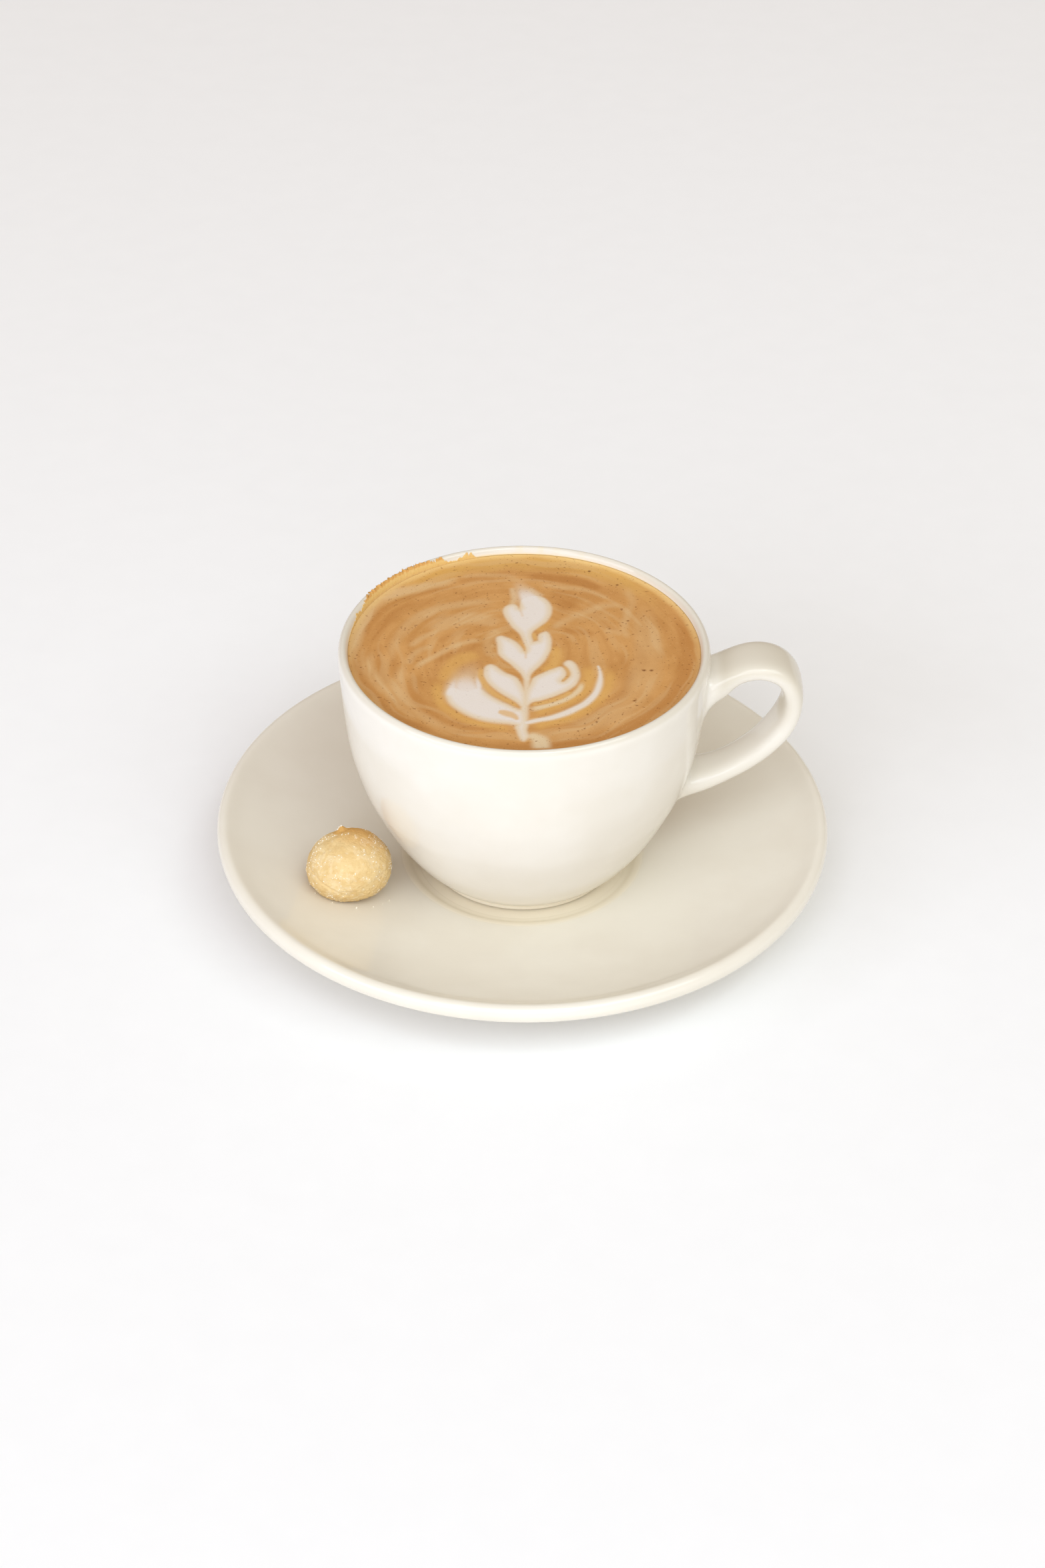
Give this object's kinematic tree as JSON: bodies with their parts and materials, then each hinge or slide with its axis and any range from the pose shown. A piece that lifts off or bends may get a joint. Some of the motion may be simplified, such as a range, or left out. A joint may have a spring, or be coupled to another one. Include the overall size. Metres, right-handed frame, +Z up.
{
  "type": "latte in a cup",
  "caption": "Handled ceramic cup full of latte with a leaf pattern, on its round saucer with a small sugared biscuit.",
  "frame": {"origin": "on the cup and saucer's common upright axis, at the foot of the saucer, which is the centre of the bounding box's bottom", "axes": "+Z up along the cup's axis, +X along the cup's handle, so the drink's pattern is read from the -Y side"},
  "size_m": [0.16, 0.16, 0.0735],
  "materials": {
    "saucer_glaze": "gloss ivory glaze",
    "cup_glaze": "gloss ivory glaze",
    "drink": "fine milk foam with brown crema",
    "biscuit": "dry baked crumb with sugar"
  },
  "bodies": {
    "root": {"saucer": "saucer_glaze", "cup": "cup_glaze", "latte": "drink", "biscuit": "biscuit"}
  },
  "joints": []
}
